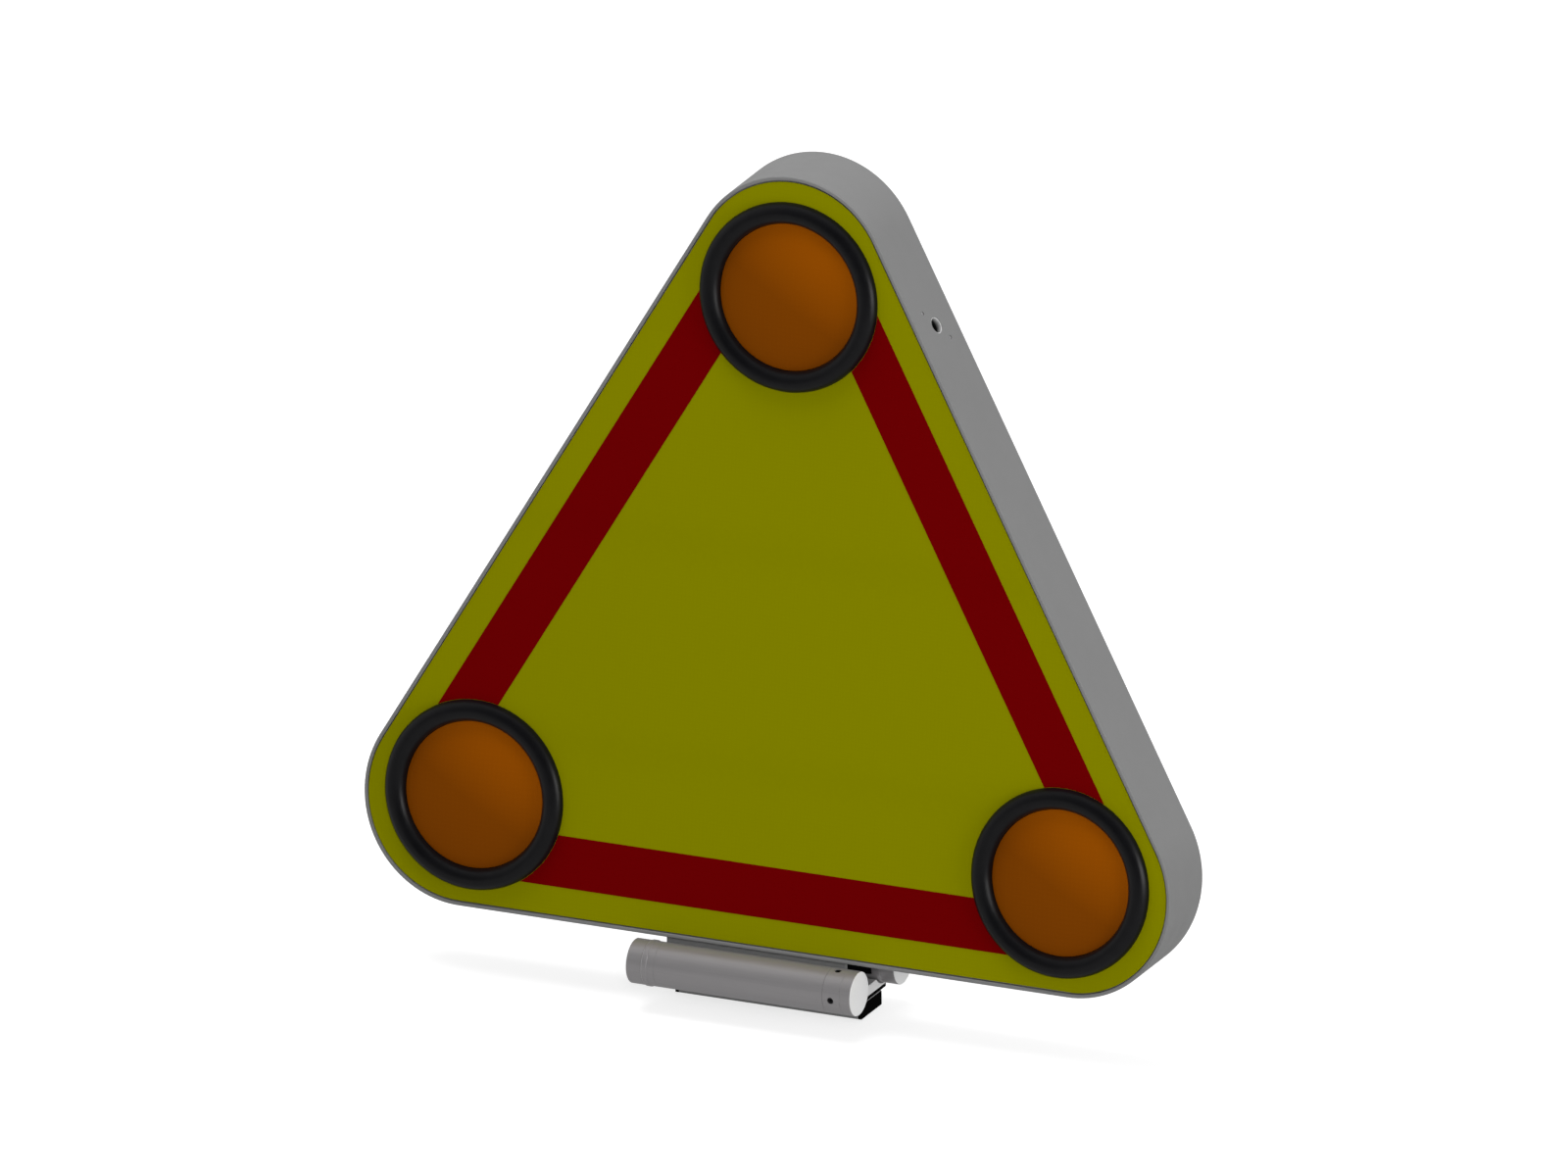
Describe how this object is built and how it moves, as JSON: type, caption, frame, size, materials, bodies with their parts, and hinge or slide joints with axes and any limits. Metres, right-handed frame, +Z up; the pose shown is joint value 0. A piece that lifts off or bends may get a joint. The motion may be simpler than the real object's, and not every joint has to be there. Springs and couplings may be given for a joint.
{
  "type": "folding warning triangle sign",
  "caption": "Rounded triangular warning sign with amber lamps at its corners, on a motor-driven folding roof base that lays the sign face down.",
  "frame": {"origin": "centre of the base block's underside", "axes": "+X to the right seen from the front, +Y backward, +Z up"},
  "size_m": [0.7006, 0.1677, 0.684],
  "materials": {
    "casing_grey": "satin grey paint",
    "plate_aluminium": "plain sheet",
    "yellow_film": "retroreflective film",
    "red_film": "retroreflective film",
    "black_rubber": "moulded, satin",
    "amber_lens": "moulded amber lens",
    "black_plastic": "moulded",
    "circuit_board": "solder mask",
    "cable_sheath": "smooth sheath",
    "socket_metal": "plated",
    "brass": "machined",
    "steel": "zinc plated",
    "dark_steel": "black oxide",
    "black_paint": "black powder coat",
    "bracket_grey": "satin grey coat",
    "tube_grey": "satin grey paint",
    "cap_grey": "light grey paint",
    "cradle_aluminium": "extruded, satin",
    "shim_grey": "flat"
  },
  "bodies": {
    "base": {"motor_tube": "tube_grey", "idle_hub": "steel", "idle_end_cap": "cap_grey", "motor_can": "dark_steel", "ring_gear": "dark_steel", "output_bearing": "black_plastic", "tube_cradle": "cradle_aluminium", "rest_pad": "black_rubber", "base_plate": "black_paint", "base_shim": "shim_grey", "base_block": "bracket_grey", "base_end_caps": "black_plastic", "cradle_screws": "steel"},
    "sign": {"casing_shell": "casing_grey", "rear_cover": "casing_grey", "cover_gasket": "black_rubber", "cover_screws": "steel", "sign_plate": "plate_aluminium", "yellow_film": "yellow_film", "red_band": "red_film", "lamp_bezel_top": "black_rubber", "lamp_bezel_left": "black_rubber", "lamp_bezel_right": "black_rubber", "lamp_lens_top": "amber_lens", "lamp_lens_left": "amber_lens", "lamp_lens_right": "amber_lens", "lamp_housing_top": "black_plastic", "lamp_housing_left": "black_plastic", "lamp_housing_right": "black_plastic", "led_board_top": "circuit_board", "led_board_left": "circuit_board", "led_board_right": "circuit_board", "lamp_screws": "steel", "flasher_case": "black_plastic", "flasher_lid": "black_plastic", "flasher_board": "circuit_board", "flasher_screws": "steel", "wiring_harness": "cable_sheath", "power_socket": "socket_metal", "socket_pins": "steel", "socket_screws": "steel", "backing_plate": "steel", "bracket_bolts": "dark_steel", "top_bracket": "bracket_grey", "bracket_cheeks": "black_paint", "rest_tube": "tube_grey", "rest_tube_caps": "cap_grey", "rest_tube_bolts": "steel", "drive_collar": "tube_grey", "idle_collar": "tube_grey", "collar_pins": "steel", "set_screws": "dark_steel", "drive_end_cap": "cap_grey", "output_shaft": "steel", "planet_pins": "steel", "idle_bush": "brass"},
    "sun": {"sun_gear": "steel"},
    "planet_1": {"planet_gear_1": "brass"},
    "planet_2": {"planet_gear_2": "brass"},
    "planet_3": {"planet_gear_3": "brass"}
  },
  "joints": [
    {"name": "fold", "type": "hinge", "parent": "base", "child": "sign", "pos_m": [0, -0.0581, 0.0378], "axis": [1, 0, 0], "range_deg": [0, 97]},
    {"name": "sun_spin", "type": "hinge", "parent": "base", "child": "sun", "pos_m": [0, -0.0581, 0.0378], "axis": [1, 0, 0], "range_deg": [-1, 389]},
    {"name": "planet_spin_1", "type": "hinge", "parent": "sign", "child": "planet_1", "pos_m": [0, -0.0581, 0.0462], "axis": [1, 0, 0], "range_deg": [-292, 1]},
    {"name": "planet_spin_2", "type": "hinge", "parent": "sign", "child": "planet_2", "pos_m": [0, -0.06538, 0.0336], "axis": [1, 0, 0], "range_deg": [-292, 1]},
    {"name": "planet_spin_3", "type": "hinge", "parent": "sign", "child": "planet_3", "pos_m": [0, -0.05083, 0.0336], "axis": [1, 0, 0], "range_deg": [-292, 1]}
  ],
  "couplings": [
    {"joint": "sun_spin", "follows": "fold", "ratio": 4},
    {"joint": "planet_spin_1", "follows": "fold", "ratio": -3},
    {"joint": "planet_spin_2", "follows": "fold", "ratio": -3},
    {"joint": "planet_spin_3", "follows": "fold", "ratio": -3}
  ]
}
